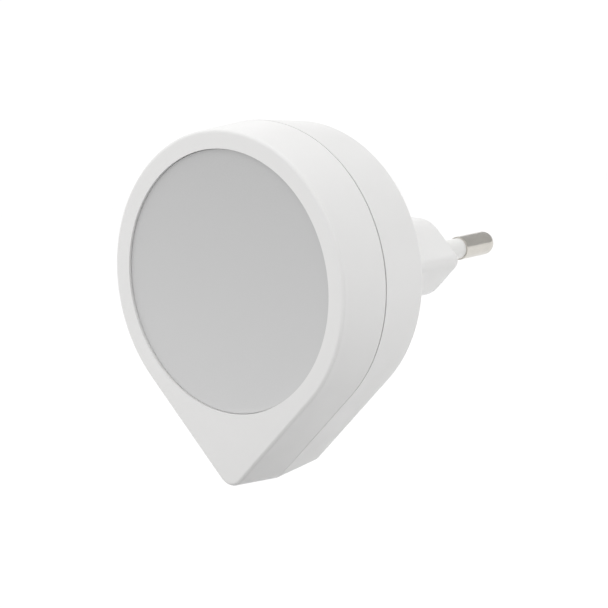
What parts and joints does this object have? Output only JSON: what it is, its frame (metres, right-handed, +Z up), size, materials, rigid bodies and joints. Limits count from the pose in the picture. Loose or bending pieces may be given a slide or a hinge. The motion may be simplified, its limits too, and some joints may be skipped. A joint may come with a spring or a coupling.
{
  "type": "plug-in night light",
  "caption": "Drop-shaped plug-in night light: two-part white casing, round frosted window, flat two-pin plug body behind, small slide switch on the side.",
  "frame": {"origin": "middle of the plug's flat end face, between the two pins", "axes": "+Z up with the casing's point down, -Y towards the room (the face with the window), +Y along the pins into the socket"},
  "size_m": [0.0517, 0.0581, 0.0597],
  "materials": {
    "shell_plastic": "satin white moulded plastic",
    "plug_plastic": "satin white moulded plastic",
    "diffuser_plastic": "frosted translucent white",
    "reflector_plastic": "bright white",
    "board_laminate": "pale laminate",
    "led_phosphor": "yellow phosphor",
    "film_coating": "dipped resin",
    "can_sleeve": "shrunk sleeve",
    "rectifier_resin": "black resin",
    "fuse_enamel": "flameproof enamel",
    "bleed_enamel": "enamel",
    "switch_resin": "black resin",
    "switch_steel": "tinned",
    "contact_brass": "bare",
    "knob_plastic": "satin white moulded plastic",
    "pin_nickel": "bright nickel plate on brass",
    "sleeve_plastic": "satin white",
    "live_insulation": "soft brown",
    "neutral_insulation": "soft blue",
    "screw_steel": "zinc plated"
  },
  "bodies": {
    "light": {"front_shell": "shell_plastic", "rear_shell": "shell_plastic", "diffuser": "diffuser_plastic", "reflector": "reflector_plastic", "circuit_board": "board_laminate", "leds": "led_phosphor", "film_capacitor": "film_coating", "electrolytic_capacitor": "can_sleeve", "bridge_rectifier": "rectifier_resin", "fusible_resistor": "fuse_enamel", "bleed_resistor": "bleed_enamel", "switch_housing": "switch_resin", "switch_cover": "switch_steel", "switch_terminals": "contact_brass", "plug_body": "plug_plastic", "live_pin": "pin_nickel", "neutral_pin": "pin_nickel", "live_pin_sleeve": "sleeve_plastic", "neutral_pin_sleeve": "sleeve_plastic", "live_wire": "live_insulation", "neutral_wire": "neutral_insulation", "plug_screws": "screw_steel", "board_screws": "screw_steel", "casing_screw": "screw_steel"},
    "knob": {"switch_knob": "knob_plastic", "switch_contact": "contact_brass"}
  },
  "joints": [
    {"name": "switch_slide", "type": "slide", "parent": "light", "child": "knob", "axis": [0, 0, 1], "range_m": [0, 0.0025]}
  ]
}
